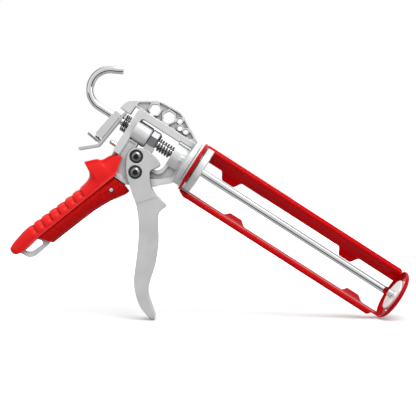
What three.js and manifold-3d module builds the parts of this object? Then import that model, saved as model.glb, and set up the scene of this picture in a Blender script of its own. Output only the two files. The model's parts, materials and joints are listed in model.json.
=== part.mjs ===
// Caulking gun with a die-cast body, a revolving half-tube cradle and a hooked push rod.
// Millimetres, +Z up. Everything is drawn in the gun's own frame: x runs along the push rod
// towards the nozzle end (x = 0 at the cradle's rear ring), z is up across the rod (z = 0 on
// its axis) and y is sideways (y = 0 in the gun's middle plane). The finished gun is then
// tilted so that it stands on the trigger's tip and the lower edge of the front cap.
import * as THREE from 'three';
import { mergeVertices } from 'three/addons/utils/BufferGeometryUtils.js';
import Module from 'manifold-3d';

// ---- driving dimensions ----
const GAP = 0.3;                 // between pieces that touch
const SLIDE = 0.4;               // radial clearance of pieces that slide on the rod

const CARTRIDGE_LENGTH = 230;    // free length between collar and front cap
const CARTRIDGE_RADIUS = 25;     // inside radius of the cradle rails
const SHEET = 1.2;               // cradle sheet thickness
const CRADLE_ROLL = 18.5;        // degrees that the open side is turned up
const RING_THICKNESS = 3;
const CAP_PLATE = 1.5;
const CAP_SKIRT = 5;
const CAP_HOLE_RADIUS = 17.5;
const CAP_EDGE = 2.5;            // rounding of the cap's front edge
const CAP_OVERHANG = 0.4;        // how far the cap and ring stand out past the rails
const FLANGE_HEIGHT = 4.6;       // outward lips along the cradle's open side
const RAIL_OPEN_ANGLE = 101.5;   // from the middle of the open side to each lip
const RAIL_WINDOW_ANGLE = 131.5; // from the middle of the open side to the window edge
const RAIL_TAB_ANGLE = 150.5;    // how far the tabs reach round

const SPIGOT_RADIUS = 17;
const COLLAR_RADIUS = 24;
const COLLAR_LENGTH = 7.1;
const WAVE_WASHER = 0.8;         // thickness of the washer between collar and ring
const WASHER_THICKNESS = 1.7;    // and of the one between ring and body flange
const FLANGE_RADIUS = 23.6;
const FLANGE_THICKNESS = 5.6;
const FRONT_BOSS_RADIUS = 13.6;
const FRONT_BOSS_LENGTH = 15;

const ROD_RADIUS = 4;
const HOOK_RADIUS = 20;
const HOOK_TAIL = 12;
const HOOK_SWEEP = 152;          // degrees of arc in the hook
const ROD_BEHIND_RING = 110.5;   // straight rod behind the rear ring
const PISTON_RADIUS = 16.6;      // passes through the cap's hole
const PISTON_DEPTH = 4;
const PISTON_SHEET = 1.5;

const BAR_HALF_WIDTH = 8;        // top bar and rear post of the body
const CREST_HALF_WIDTH = 3.2;    // web of the wrench crest
const CREST_RIM_HALF_WIDTH = 5;  // raised rim round the crest
const HEX_RIM = 1.5;             // wall round each wrench hole
const HOLE_RIM = 1.1;
const CORE_HALF_WIDTH = 7;       // lower housing over its two walls
const HOUSING_WALL = 2.4;
const TANG_HALF_WIDTH = 4;       // body's tang inside the grip
const REAR_BOSS_RADIUS = 11;

const CHEEK_CLEARANCE = 0.5;     // between the lower housing and each arm of the trigger's fork
const CHEEK_WALL = 3.5;
const HANDLE_INSET = 0.4;        // how far the handle's sides stand in from the fork's
const SCREW_RADIUS = 2.5;
const SCREW_HEAD_RADIUS = 4.6;
const SCREW_RECESS_RADIUS = 6.4;
const SCREW_RECESS_DEPTH = 1.5;
const ROLLER_RADIUS = 5;
const TRIGGER_TIP_RADIUS = 2.5;
const PIVOT = [-45.2, -35.4];
const ROLLER_AXIS = [-52.6, -21.8];

const JAW_RADIUS = 11;
const JAW_LENGTH = 9.8;
const DRIVE_PLATE = 5.4;
const SPRING_WIRE = 1.3;
const DRIVE_SPRING_RADIUS = 6.6;
const RELEASE_SPRING_RADIUS = 9.2;
const LOCK_PLATE = 2.2;
const LEVER_TILT = 7;            // degrees that the release lever leans back
const GRIP_HALF_WIDTH = 13;
const STOP_PEG_RADIUS = 2.3;
const STOP_PEG_HEIGHT = -23;
const STOP_PEG_REACH = 7.7;
const GRIP_PIN = [-55.6, -63];
const LEVER_HINGE = [-82.8, 18];

const CHEEK_IN = CORE_HALF_WIDTH + CHEEK_CLEARANCE;
const CHEEK_OUT = CHEEK_IN + CHEEK_WALL;
const HANDLE_HALF_WIDTH = CHEEK_OUT - HANDLE_INSET;

// places along the rod that follow from the sizes above
const RING_BACK = -RING_THICKNESS / 2;
const RING_FRONT = RING_THICKNESS / 2;
const FLANGE_FRONT = RING_BACK - WASHER_THICKNESS - 2 * GAP;
const FLANGE_BACK = FLANGE_FRONT - FLANGE_THICKNESS;
const COLLAR_BACK = RING_FRONT + WAVE_WASHER + 2 * GAP;
const COLLAR_FRONT = COLLAR_BACK + COLLAR_LENGTH;
const CAP_FRONT = COLLAR_FRONT + CARTRIDGE_LENGTH + CAP_PLATE;
const CAP_BACK = CAP_FRONT - CAP_SKIRT;
const RAIL_OUTER = CARTRIDGE_RADIUS + SHEET;
const CAP_RADIUS = RAIL_OUTER + CAP_OVERHANG;
const BOSS_BACK = FLANGE_BACK - FRONT_BOSS_LENGTH;
const POST_FRONT = -68;
const POST_BACK = -75.5;
const BAR_BOTTOM = 13;
const BAR_TOP = 20.5;
const REAR_BOSS_FRONT = -52;
const JAW_BACK = REAR_BOSS_FRONT + GAP;
const JAW_FRONT = JAW_BACK + JAW_LENGTH;

const colours = {
  castAluminium: { color: 0xd4d5d6, roughness: 0.42, metalness: 0.35 },
  triggerGrey: { color: 0xc8c9c8, roughness: 0.55, metalness: 0.1 },
  glossRed: { color: 0xb4060a, roughness: 0.18, metalness: 0 },
  gripRed: { color: 0xbe1212, roughness: 0.5, metalness: 0 },
  softRed: { color: 0xee2020, roughness: 0.55, metalness: 0 },
  chrome: { color: 0xe6e7ea, roughness: 0.12, metalness: 1 },
  steel: { color: 0xb9babd, roughness: 0.3, metalness: 1 },
  darkSteel: { color: 0x2b2b2e, roughness: 0.35, metalness: 0.8 },
  rubber: { color: 0x111112, roughness: 0.6, metalness: 0 },
  palePlastic: { color: 0xe8e8e6, roughness: 0.5, metalness: 0 },
};

const wasm = await Module();
wasm.setup();

// ---- solids ----
function solid(geometry) {
  const bare = geometry.index ? geometry.toNonIndexed() : geometry.clone();
  bare.deleteAttribute('normal');
  bare.deleteAttribute('uv');
  const merged = mergeVertices(bare, 1e-4);
  return new wasm.Manifold(new wasm.Mesh({
    numProp: 3,
    vertProperties: Float32Array.from(merged.attributes.position.array),
    triVerts: facingOut(merged),
  }));
}

// the triangles, turned round if the outline was drawn the other way about
function facingOut(merged) {
  const index = Uint32Array.from(merged.index.array);
  const corner = (i) => new THREE.Vector3().fromBufferAttribute(merged.attributes.position, index[i]);
  let volume = 0;
  for (let i = 0; i < index.length; i += 3) {
    volume += corner(i).dot(corner(i + 1).cross(corner(i + 2)));
  }
  return volume < 0 ? index.reverse() : index;
}

function geometryOf(manifold) {
  const mesh = manifold.getMesh();
  const geometry = new THREE.BufferGeometry();
  geometry.setAttribute('position', new THREE.BufferAttribute(mesh.vertProperties, 3));
  geometry.setIndex(new THREE.BufferAttribute(mesh.triVerts, 1));
  geometry.computeVertexNormals();
  return geometry;
}

const join = (...solids) => solids.reduce((whole, next) => whole.add(next));
const cut = (base, ...tools) => tools.reduce((rest, tool) => rest.subtract(tool), base);
const degrees = (angle) => THREE.MathUtils.degToRad(angle);

// a plate whose outline is drawn in x and z, between two values of y
function plate(outline, yLow, yHigh) {
  const shape = outline instanceof THREE.Shape ? outline : polygon(outline);
  const geometry = new THREE.ExtrudeGeometry(shape, {
    depth: yHigh - yLow, bevelEnabled: false, curveSegments: 3,
  });
  geometry.rotateX(Math.PI / 2);
  geometry.translate(0, yHigh, 0);
  return solid(geometry);
}

function polygon(points) {
  return new THREE.Shape(points.map(([x, z]) => new THREE.Vector2(x, z)));
}

// an outline with every corner rounded; a point may carry its own radius as a third number
function rounded(points, radius) {
  const shape = new THREE.Shape();
  const count = points.length;
  for (let i = 0; i < count; i += 1) {
    const before = new THREE.Vector2(...points[(i + count - 1) % count].slice(0, 2));
    const corner = new THREE.Vector2(...points[i].slice(0, 2));
    const after = new THREE.Vector2(...points[(i + 1) % count].slice(0, 2));
    const wanted = points[i][2] ?? radius;
    const reach = Math.min(wanted, corner.distanceTo(before) * 0.48, corner.distanceTo(after) * 0.48);
    const enter = corner.clone().add(before.clone().sub(corner).setLength(reach));
    const leave = corner.clone().add(after.clone().sub(corner).setLength(reach));
    if (i === 0) shape.moveTo(enter.x, enter.y);
    else shape.lineTo(enter.x, enter.y);
    shape.quadraticCurveTo(corner.x, corner.y, leave.x, leave.y);
  }
  shape.closePath();
  return shape;
}

// a smooth closed outline through the points
function smooth(points, tension, samples) {
  const curve = new THREE.CatmullRomCurve3(
    points.map(([x, z]) => new THREE.Vector3(x, z, 0)), true, 'catmullrom', tension);
  return new THREE.Shape(curve.getPoints(samples).slice(0, -1).map((p) => new THREE.Vector2(p.x, p.y)));
}

// a turned piece on the x axis: profile points are [x, radius]
function turned(profile, segments = 40) {
  const geometry = new THREE.LatheGeometry(
    profile.map(([x, r]) => new THREE.Vector2(r, x)), segments);
  geometry.rotateZ(-Math.PI / 2);
  return solid(geometry);
}

const rod = (r, x0, x1, segments = 24) => turned([[x0, 0], [x0, r], [x1, r], [x1, 0]], segments);
const washer = (rIn, rOut, x0, x1, segments) => turned(
  [[x0, rIn], [x0, rOut], [x1, rOut], [x1, rIn], [x0, rIn]], segments);

// a round bar across the gun, at x and z
function crossBar(r, [x, z], y0, y1, segments = 16) {
  const geometry = new THREE.CylinderGeometry(r, r, y1 - y0, segments);
  geometry.translate(0, (y0 + y1) / 2, 0);
  geometry.translate(x, 0, z);
  return solid(geometry);
}

function box(x0, x1, y0, y1, z0, z1) {
  const geometry = new THREE.BoxGeometry(x1 - x0, y1 - y0, z1 - z0);
  geometry.translate((x0 + x1) / 2, (y0 + y1) / 2, (z0 + z1) / 2);
  return solid(geometry);
}

// a closed skin over equal-length rings of points, with a flat cap at each end
function loft(rings) {
  const count = rings[0].length;
  const positions = rings.flat().flatMap((p) => [p.x, p.y, p.z]);
  const index = [];
  for (let ring = 0; ring + 1 < rings.length; ring += 1) {
    for (let i = 0; i < count; i += 1) {
      const a = ring * count + i;
      const b = ring * count + (i + 1) % count;
      index.push(a, b, b + count, a, b + count, a + count);
    }
  }
  const last = (rings.length - 1) * count;
  for (const [a, b, c] of capTriangles(rings[0])) index.push(c, b, a);
  for (const [a, b, c] of capTriangles(rings.at(-1))) index.push(last + a, last + b, last + c);
  const geometry = new THREE.BufferGeometry();
  geometry.setAttribute('position', new THREE.Float32BufferAttribute(positions, 3));
  geometry.setIndex(index);
  return solid(geometry);
}

// triangles over one ring, in its own turning sense
function capTriangles(ring) {
  const normal = new THREE.Vector3();
  ring.forEach((p, i) => normal.add(p.clone().cross(ring[(i + 1) % ring.length])));
  normal.normalize();
  const across = ring[1].clone().sub(ring[0]).normalize();
  const up = normal.clone().cross(across);
  const flat = ring.map((p) => new THREE.Vector2(p.dot(across), p.dot(up)));
  return THREE.ShapeUtils.triangulateShape(flat, []);
}

function hexagon([x, z], acrossFlats, turn = 0) {
  const r = acrossFlats / Math.sqrt(3);
  return Array.from({ length: 6 }, (_, i) => {
    const angle = degrees(60 * i + turn);
    return [x + r * Math.cos(angle), z + r * Math.sin(angle)];
  });
}

// ---- cradle ----
const onCradle = (r, angle) => [-r * Math.cos(degrees(angle)), r * Math.sin(degrees(angle))];

function smoothStep(t) {
  const clamped = Math.min(1, Math.max(0, t));
  return clamped * clamped * (3 - 2 * clamped);
}

// 1 over a stretch, falling smoothly to 0 over the ramp on each side of it
function plateau(x, start, end, ramp) {
  return smoothStep((x - start + ramp) / ramp) * smoothStep((end + ramp - x) / ramp);
}

// the upper rail's lip runs on to the ring and the cap; the lower one's runs out before them
function lipHeight(side, fromRing, fromCap) {
  const share = side > 0
    ? smoothStep(0.6 + fromRing / 4) * smoothStep(0.6 + fromCap / 4)
    : smoothStep(0.25 + fromRing / 14) * smoothStep((fromCap - 6) / 6);
  return Math.max(FLANGE_HEIGHT * share, 0.5);
}

// one bent sheet strip with a lip; side is 1 for the upper rail and -1 for the lower
function rail(side, tabs) {
  const start = RING_FRONT + GAP;
  const end = CAP_BACK - GAP;
  const ramp = 7;
  const stations = new Set([start, end, start + 3, start + 8, start + 14, end - 3, end - 6, end - 9, end - 12]);
  for (const [a, b] of tabs) {
    for (const share of [0, 0.25, 0.5, 0.75, 1]) {
      stations.add(a - ramp * share);
      stations.add(b + ramp * share);
    }
  }
  const arcSteps = 6;
  const rings = [...stations].sort((p, q) => p - q).map((x) => {
    const tab = Math.max(...tabs.map(([a, b]) => plateau(x, a, b, ramp)));
    const edge = RAIL_WINDOW_ANGLE + (RAIL_TAB_ANGLE - RAIL_WINDOW_ANGLE) * tab;
    const lip = lipHeight(side, x - start, end - x);
    const outer = [[RAIL_OUTER + lip, RAIL_OPEN_ANGLE]];
    const inner = [[RAIL_OUTER + lip, RAIL_OPEN_ANGLE - SHEET * 57.3 / CARTRIDGE_RADIUS]];
    for (let i = 0; i <= arcSteps; i += 1) {
      const angle = RAIL_OPEN_ANGLE + (edge - RAIL_OPEN_ANGLE) * i / arcSteps;
      outer.push([RAIL_OUTER, angle + (i === 0 ? 1.2 : 0)]);
      inner.push([CARTRIDGE_RADIUS, angle - (i === 0 ? SHEET * 57.3 / CARTRIDGE_RADIUS : 0)]);
    }
    return [...outer, ...inner.reverse()].map(([r, angle]) => {
      const [y, z] = onCradle(r, side * angle);
      return new THREE.Vector3(x, y, z);
    });
  });
  return loft(rings);
}

const upperRail = () => rail(1, [[33, 45], [176, 188]]);
const lowerRail = () => rail(-1, [[58, 70], [200, 212]]);

const rearRing = () => washer(SPIGOT_RADIUS + GAP, CAP_RADIUS, RING_BACK, RING_FRONT, 48);

function frontCap() {
  const inside = CAP_RADIUS - SHEET;
  const edge = [0, 30, 60, 90].map((angle) => [
    CAP_FRONT - CAP_EDGE + CAP_EDGE * Math.sin(degrees(angle)),
    CAP_RADIUS - CAP_EDGE + CAP_EDGE * Math.cos(degrees(angle)),
  ]);
  return turned([
    [CAP_FRONT - CAP_PLATE, CAP_HOLE_RADIUS],
    [CAP_FRONT - CAP_PLATE, inside - 1],
    [CAP_FRONT - CAP_PLATE - 1, inside],
    [CAP_BACK, inside],
    [CAP_BACK, CAP_RADIUS],
    ...edge,
    [CAP_FRONT, CAP_HOLE_RADIUS],
    [CAP_FRONT - CAP_PLATE, CAP_HOLE_RADIUS],
  ], 48);
}

// ---- rod and piston ----
const ROD_TIP = CAP_FRONT + 1.5;

// the rod's middle line: straight, then round the hook, then a short straight tail
function rodPath() {
  const steps = 18;
  const path = [new THREE.Vector3(ROD_TIP, 0, 0)];
  for (let i = 0; i <= steps; i += 1) {
    const angle = degrees(270 - HOOK_SWEEP * i / steps);
    path.push(new THREE.Vector3(
      -ROD_BEHIND_RING + HOOK_RADIUS * Math.cos(angle), 0, HOOK_RADIUS + HOOK_RADIUS * Math.sin(angle)));
  }
  const last = degrees(270 - HOOK_SWEEP);
  const heading = new THREE.Vector3(Math.sin(last), 0, -Math.cos(last));
  path.push(path.at(-1).clone().addScaledVector(heading, HOOK_TAIL));
  return path;
}

function pushRod() {
  const path = rodPath();
  const across = new THREE.Vector3(0, 1, 0);
  const sides = 16;
  return loft(path.map((centre, i) => {
    const before = path[Math.max(i - 1, 0)];
    const after = path[Math.min(i + 1, path.length - 1)];
    const up = after.clone().sub(before).normalize().cross(across);
    return Array.from({ length: sides }, (_, k) => centre.clone()
      .addScaledVector(across, ROD_RADIUS * Math.cos(2 * Math.PI * k / sides))
      .addScaledVector(up, ROD_RADIUS * Math.sin(2 * Math.PI * k / sides)));
  }));
}

// a shallow dish with its rim turned forward; in front of it the nut that holds it on the rod
const PISTON_BACK = CAP_FRONT - 0.5 - PISTON_DEPTH;

function pistonDisc() {
  const bend = 1.2;
  const inside = PISTON_RADIUS - PISTON_SHEET;
  return turned([
    [PISTON_BACK, ROD_RADIUS + GAP],
    [PISTON_BACK, PISTON_RADIUS - bend],
    [PISTON_BACK + bend, PISTON_RADIUS],
    [PISTON_BACK + PISTON_DEPTH, PISTON_RADIUS],
    [PISTON_BACK + PISTON_DEPTH, inside],
    [PISTON_BACK + PISTON_SHEET, inside],
    [PISTON_BACK + PISTON_SHEET, ROD_RADIUS + GAP],
    [PISTON_BACK, ROD_RADIUS + GAP],
  ], 36);
}

function pistonNut() {
  const seat = PISTON_BACK + PISTON_SHEET + GAP;
  const acrossCorners = 2 * ROD_RADIUS + 4.8;
  const height = 2.4;
  const geometry = new THREE.CylinderGeometry(acrossCorners / 2, acrossCorners / 2, height, 6);
  geometry.rotateZ(-Math.PI / 2);
  geometry.translate(seat + height / 2, 0, 0);
  return cut(solid(geometry), rod(ROD_RADIUS + GAP, seat - 1, seat + height + 1));
}

// ---- body casting ----
const BORE = ROD_RADIUS + SLIDE;

const crestOutline = [
  [-92.3, 9.9, 1], [-91.5, 14.5, 3], [-88.5, 21, 3], [-62.5, 37.6, 6], [-37.4, 38.9, 6],
  [-10, 23.4, 2], [-10, BAR_TOP - 1, 0.5], [-80, BAR_TOP - 1, 0.5], [-80, 9.9, 1],
];
const hexHoles = [[[-62.2, 27.3], 10, 30], [[-46.5, 28.2], 11, 0]];
const roundHoles = [[-35.5, 31.2], [-31.6, 25.2], [-24.9, 25.3]];
const ROUND_HOLE_RADIUS = 2.4;

// the outline moved in or out square to its sides
function offset(points, distance) {
  const count = points.length;
  const area = points.reduce((sum, [x, z], i) => {
    const [nextX, nextZ] = points[(i + 1) % count];
    return sum + x * nextZ - nextX * z;
  }, 0);
  const outward = area > 0 ? distance : -distance;
  const normalOf = (from, to) => {
    const dx = to[0] - from[0];
    const dz = to[1] - from[1];
    const length = Math.hypot(dx, dz);
    return [dz / length, -dx / length];
  };
  return points.map((point, i) => {
    const n1 = normalOf(points[(i + count - 1) % count], point);
    const n2 = normalOf(point, points[(i + 1) % count]);
    const scale = outward / Math.max(0.35, 1 + n1[0] * n2[0] + n1[1] * n2[1]);
    return [point[0] + (n1[0] + n2[0]) * scale, point[1] + (n1[1] + n2[1]) * scale, ...point.slice(2)];
  });
}

function crest() {
  const rim = plate(rounded(crestOutline, 2), -CREST_RIM_HALF_WIDTH, CREST_RIM_HALF_WIDTH);
  const web = [
    [-79, 24.4], [-62, 35.5, 4], [-38, 36.8, 4], [-14.6, 23.4, 1], [-18, BAR_TOP + 0.2], [-79, BAR_TOP + 0.2],
  ];
  const webFloor = rounded(web, 1);
  const pockets = [-1, 1].map((side) => {
    const near = side * CREST_HALF_WIDTH;
    const far = side * (CREST_RIM_HALF_WIDTH + 1);
    return plate(webFloor, Math.min(near, far), Math.max(near, far));
  });
  const hexRims = hexHoles.map(([centre, flats, turn]) => plate(
    hexagon(centre, flats + 2 * HEX_RIM, turn), -CREST_RIM_HALF_WIDTH, CREST_RIM_HALF_WIDTH));
  const roundRims = roundHoles.map((centre) => crossBar(
    ROUND_HOLE_RADIUS + HOLE_RIM, centre, -CREST_RIM_HALF_WIDTH, CREST_RIM_HALF_WIDTH));
  const bosses = join(...hexRims, ...roundRims)
    .intersect(plate(rounded(crestOutline, 2), -CREST_RIM_HALF_WIDTH, CREST_RIM_HALF_WIDTH));
  const holes = [
    ...hexHoles.map(([centre, flats, turn]) => plate(hexagon(centre, flats, turn), -9, 9)),
    ...roundHoles.map((centre) => crossBar(ROUND_HOLE_RADIUS, centre, -9, 9)),
  ];
  const tongueSlot = box(-86.2, -81.4, -3.6, 3.6, 5, 19.8);
  return cut(join(cut(rim, ...pockets), bosses), ...holes, tongueSlot);
}

const housingOutline = [
  [-69, -10.5, 0], [-58, -10.5, 1], [-56.5, -27, 2], [-40, -27, 2], [-36, -23.8, 2],
  [-28, -23.2, 4], [-24.8, -18, 4], [-24, -8, 0], [-9, -8, 0], [-7.4, -21, 1], [-9, -25, 2],
  [-19, -34, 2], [-23, -39, 3], [-36, -45, 3], [-47, -51, 2], [-69, -51, 0],
];

const tangOutline = [
  [-74, -26], [-67, -26], [-64.5, -48], [-48, -49], [-46.5, -56], [-56, -75], [-78.5, -134],
  [-79.4, -143, 2], [-84.3, -160, 3], [-89, -164, 3], [-103.5, -164.5, 2], [-101.5, -142], [-79, -80],
  [-77.5, -60],
];
const hangHole = [[-87.1, -142.2], [-83.9, -144.3], [-90, -158], [-95, -160.4], [-97, -158.8], [-92.5, -144.4]];

function lowerHousing() {
  const walls = plate(rounded(housingOutline, 1), -CORE_HALF_WIDTH, CORE_HALF_WIDTH);
  const inner = HOUSING_WALL;
  const hollow = plate(rounded([
    [-64.5, -5], [-34.4, -5], [-34.4, -27.2], [-36.8, -28.6], [-36.8, -39.5], [-48, -45], [-64.5, -45],
  ], 1.5), -CORE_HALF_WIDTH + inner, CORE_HALF_WIDTH - inner);
  const recess = (points, depth = 1.2) => [-1, 1].map((side) => {
    const floor = side * (CORE_HALF_WIDTH - depth);
    const outside = side * (CORE_HALF_WIDTH + 1);
    return plate(rounded(points, 1.5), Math.min(floor, outside), Math.max(floor, outside));
  });
  const rearRecess = recess([[-67.2, -12], [-59.6, -12], [-58, -29], [-50, -44], [-49, -46.4], [-67.2, -46.4]]);
  const frontRecess = recess([[-33.4, -26.6], [-30.3, -26.4], [-25.6, -25.8], [-22.4, -22.6], [-21.3, -17.7],
    [-20.9, -12.5], [-12.2, -12.5], [-11.8, -20], [-19.4, -26.9], [-29.2, -33.2], [-33.4, -35.5]], 3);
  return cut(walls, hollow, ...rearRecess, ...frontRecess);
}

function bodyCasting() {
  const turnedFront = turned([
    [BOSS_BACK, 0], [BOSS_BACK, FRONT_BOSS_RADIUS], [FLANGE_BACK - 2.5, FRONT_BOSS_RADIUS],
    [FLANGE_BACK, FRONT_BOSS_RADIUS + 3.5], [FLANGE_BACK, FLANGE_RADIUS], [FLANGE_FRONT, FLANGE_RADIUS],
    [FLANGE_FRONT, SPIGOT_RADIUS], [COLLAR_FRONT + 0.5, SPIGOT_RADIUS], [COLLAR_FRONT + 0.5, 0],
  ], 40);
  const frame = plate(rounded([
    [POST_BACK, -29.5, 1], [POST_BACK, BAR_TOP, 4], [FLANGE_BACK + 1, BAR_TOP, 0.5],
    [FLANGE_BACK + 1, BAR_BOTTOM, 0.5], [POST_FRONT, BAR_BOTTOM, 3], [POST_FRONT, -29.5, 1],
  ], 1), -BAR_HALF_WIDTH, BAR_HALF_WIDTH);
  const rearBoss = turned([
    [POST_FRONT - 1, 0], [POST_FRONT - 1, REAR_BOSS_RADIUS], [REAR_BOSS_FRONT - 1.2, REAR_BOSS_RADIUS],
    [REAR_BOSS_FRONT, REAR_BOSS_RADIUS - 1.2], [REAR_BOSS_FRONT, 0],
  ], 40);
  const lug = box(-15.5, FLANGE_BACK + 1, -FRONT_BOSS_RADIUS - 0.8, -10, -3, 2);
  const tang = cut(
    plate(rounded(tangOutline, 2), -TANG_HALF_WIDTH, TANG_HALF_WIDTH),
    plate(rounded(hangHole, 2), -9, 9));
  const slit = plate(rounded([[-24.6, 12.4], [-24.6, 14.2], [-11, 14.2], [-11, 12.4]], 0.8), -20, 20);
  const pegHole = crossBar(SCREW_RADIUS + GAP, PIVOT, -20, 20);
  const pinHole = crossBar(SCREW_RADIUS + GAP - 0.5, GRIP_PIN, -20, 20);
  const rodBore = rod(BORE, -110, 30, 24);
  const pegSocket = rod(STOP_PEG_RADIUS + GAP, POST_BACK - 10, POST_BACK + 4, 20).translate(0, 0, STOP_PEG_HEIGHT);
  return cut(join(turnedFront, frame, rearBoss, lug, crest(), lowerHousing(), tang),
    slit, pegHole, pinHole, rodBore, pegSocket);
}

const stopPeg = () => turned([
  [POST_BACK - STOP_PEG_REACH, 0], [POST_BACK - STOP_PEG_REACH, STOP_PEG_RADIUS - 1],
  [POST_BACK - STOP_PEG_REACH + 1, STOP_PEG_RADIUS], [POST_BACK + 3.5, STOP_PEG_RADIUS], [POST_BACK + 3.5, 0],
], 20).translate(0, 0, STOP_PEG_HEIGHT);

// ---- handle grip: drawn along its own leaning axis ----
const GRIP_TOP = [-62, -52];
const GRIP_LEAN = degrees(18.6);

// from a distance down the grip, a distance forward of its axis and a sideways one
function onGrip(down, forward, side) {
  return new THREE.Vector3(
    GRIP_TOP[0] - down * Math.sin(GRIP_LEAN) + forward * Math.cos(GRIP_LEAN), side,
    GRIP_TOP[1] - down * Math.cos(GRIP_LEAN) - forward * Math.sin(GRIP_LEAN));
}

function along(table, at) {
  const next = table.findIndex(([place]) => place >= at);
  if (next <= 0) return table.at(next === 0 ? 0 : -1)[1];
  const [p0, v0] = table[next - 1];
  const [p1, v1] = table[next];
  return v0 + (v1 - v0) * (at - p0) / (p1 - p0);
}

const GRIP_SEAM = 1.2;           // forward of the grip's axis
const frontEdge = [[-9, 21.5], [-1, 21.8], [6, 20.2], [16, 17.7], [28, 15.9], [39, 14.9], [92, 14.2]];
const gripWidth = [[-9, 8.6], [4, 10.4], [14, 12], [30, GRIP_HALF_WIDTH], [70, GRIP_HALF_WIDTH], [96, 11.5]];
const strapBack = [
  [-19.5, -12.5], [-16, -16.2], [-10, -18], [-3, -20], [1, -24], [7, -27], [12.4, -29.2], [13.8, -22],
  [16, -16.4], [19, -14], [24, -12.6], [33, -12], [98, -13.8], [112, -12], [123, -9.4],
];
const strapFront = [
  [-19.5, -9.2], [-6, -4.1], [1.2, GRIP_SEAM - GAP], [98, GRIP_SEAM - GAP], [113, 2.1], [120, 1.2], [123, -0.4],
];
const strapWidth = [[-19.5, 8.5], [-8, 10.5], [4, 12.5], [14, 12.6], [30, GRIP_HALF_WIDTH],
  [70, GRIP_HALF_WIDTH], [98, 11], [123, 7.5]];

function gripShell(side) {
  const rings = [-9, -4, 0, 5, 10, 16, 24, 36, 52, 70, 84, 92].map((down) => {
    const front = along(frontEdge, down);
    const width = along(gripWidth, down);
    const points = [];
    const steps = 9;
    for (let i = 0; i <= steps; i += 1) {
      const angle = Math.PI / 2 * i / steps;
      points.push(onGrip(down,
        GRIP_SEAM + (front - GRIP_SEAM) * Math.sin(angle),
        side * Math.max(GAP / 2, width * Math.cos(angle) ** 0.9)));
    }
    points.push(onGrip(down, GRIP_SEAM, side * GAP / 2));
    return points;
  });
  const below = -51 - 2 * GAP;
  const keep = plate([[-130, below], [-20, below], [-20, -130], [-76.2, -139], [-92, -142.6], [-130, -150]], -30, 30);
  const tangRoom = plate(offset(tangOutline, GAP), -TANG_HALF_WIDTH - GAP, TANG_HALF_WIDTH + GAP);
  const pinRoom = crossBar(SCREW_RADIUS, GRIP_PIN, -30, 30);
  return cut(loft(rings).intersect(keep), tangRoom, pinRoom);
}

function backstrap() {
  const downs = [-19.5, -16, -10, -3, 1, 7, 12.4, 13.8, 16, 19, 24, 33, 50, 66, 82, 98, 105, 112, 118, 123];
  const rings = downs.map((down) => {
    const back = along(strapBack, down);
    const front = along(strapFront, down);
    const width = along(strapWidth, down);
    const steps = 8;
    const points = [];
    for (let i = -steps; i <= steps; i += 1) {
      const angle = Math.PI / 2 * i / steps;
      points.push(onGrip(down,
        front + (back - front) * Math.cos(angle) ** 0.8,
        width * Math.sin(angle)));
    }
    return points;
  });
  const tangRoom = plate(offset(tangOutline, GAP), -TANG_HALF_WIDTH - GAP, TANG_HALF_WIDTH + GAP);
  const housingRoom = box(-69.5, -40, -CORE_HALF_WIDTH - GAP, CORE_HALF_WIDTH + GAP, -51 - GAP, -10);
  const postRoom = box(POST_BACK - GAP, -60, -BAR_HALF_WIDTH - GAP, BAR_HALF_WIDTH + GAP, -29.5 - GAP, 0);
  return cut(loft(rings), tangRoom, housingRoom, postRoom);
}

const gripPin = () => crossBar(SCREW_RADIUS - GAP - 0.2, GRIP_PIN, -10.4, 10.4, 20);

// ---- trigger ----
const triggerTop = [[-56, -13.4], [-49.8, -11.1], [-42, -11.1], [-34.3, -12.8], [-29.6, -15.2], [-28.4, -17.6],
  [-30.8, -22.1], [-33.4, -26.6], [-31, -31.2], [-25.2, -38.5], [-16.4, -43.6], [-4, -45.6], [-1.1, -47.7],
  [-3.2, -53], [-3.4, -59], [1, -66.5], [7.9, -76.5], [13.6, -86], [19, -98], [22.2, -107], [25.5, -120.5],
  [30.1, -130.2], [39, -137.8]];
const triggerTipCentre = [46.6, -147.3];
const triggerBack = [[34.5, -146.7], [26, -142], [19.2, -136], [12, -127.5], [7.1, -118.4], [-6.9, -89.7],
  [-21.7, -67.7], [-38.2, -53], [-47, -46], [-54.5, -37.6], [-60, -27], [-60.5, -19.5]];

function triggerOutline() {
  const [cx, cz] = triggerTipCentre;
  const tip = [62, 10, -45, -100].map((angle) => [
    cx + TRIGGER_TIP_RADIUS * Math.cos(degrees(angle)),
    cz + TRIGGER_TIP_RADIUS * Math.sin(degrees(angle)),
  ]);
  return smooth([...triggerTop, ...tip, ...triggerBack], 0.5, 96);
}

function trigger() {
  const whole = plate(triggerOutline(), -CHEEK_OUT, CHEEK_OUT);
  const fork = plate([[-75, 0], [-18, 0], [-14, -40], [-28.6, -57.4], [-27, -66], [-40, -80], [-75, -60]],
    -CHEEK_IN, CHEEK_IN);
  const step = [[-11.6, -30], [-11.6, -41.5], [-26.4, -59], [-40, -75], [-40, -170], [80, -170], [80, -30]];
  const shave = [-1, 1].map((side) => plate(step,
    Math.min(side * HANDLE_HALF_WIDTH, side * 20), Math.max(side * HANDLE_HALF_WIDTH, side * 20)));
  const holes = [PIVOT, ROLLER_AXIS].flatMap((at) => [
    crossBar(SCREW_RADIUS + GAP, at, -20, 20),
    crossBar(SCREW_RECESS_RADIUS + GAP, at, CHEEK_OUT - SCREW_RECESS_DEPTH, 20, 24),
    crossBar(SCREW_RECESS_RADIUS + GAP, at, -20, -CHEEK_OUT + SCREW_RECESS_DEPTH, 24),
  ]);
  return cut(whole, fork, ...shave, ...holes);
}

const WASHER_FLOOR = CHEEK_OUT - SCREW_RECESS_DEPTH + GAP;
const SCREW_WASHER = 1;

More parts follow.
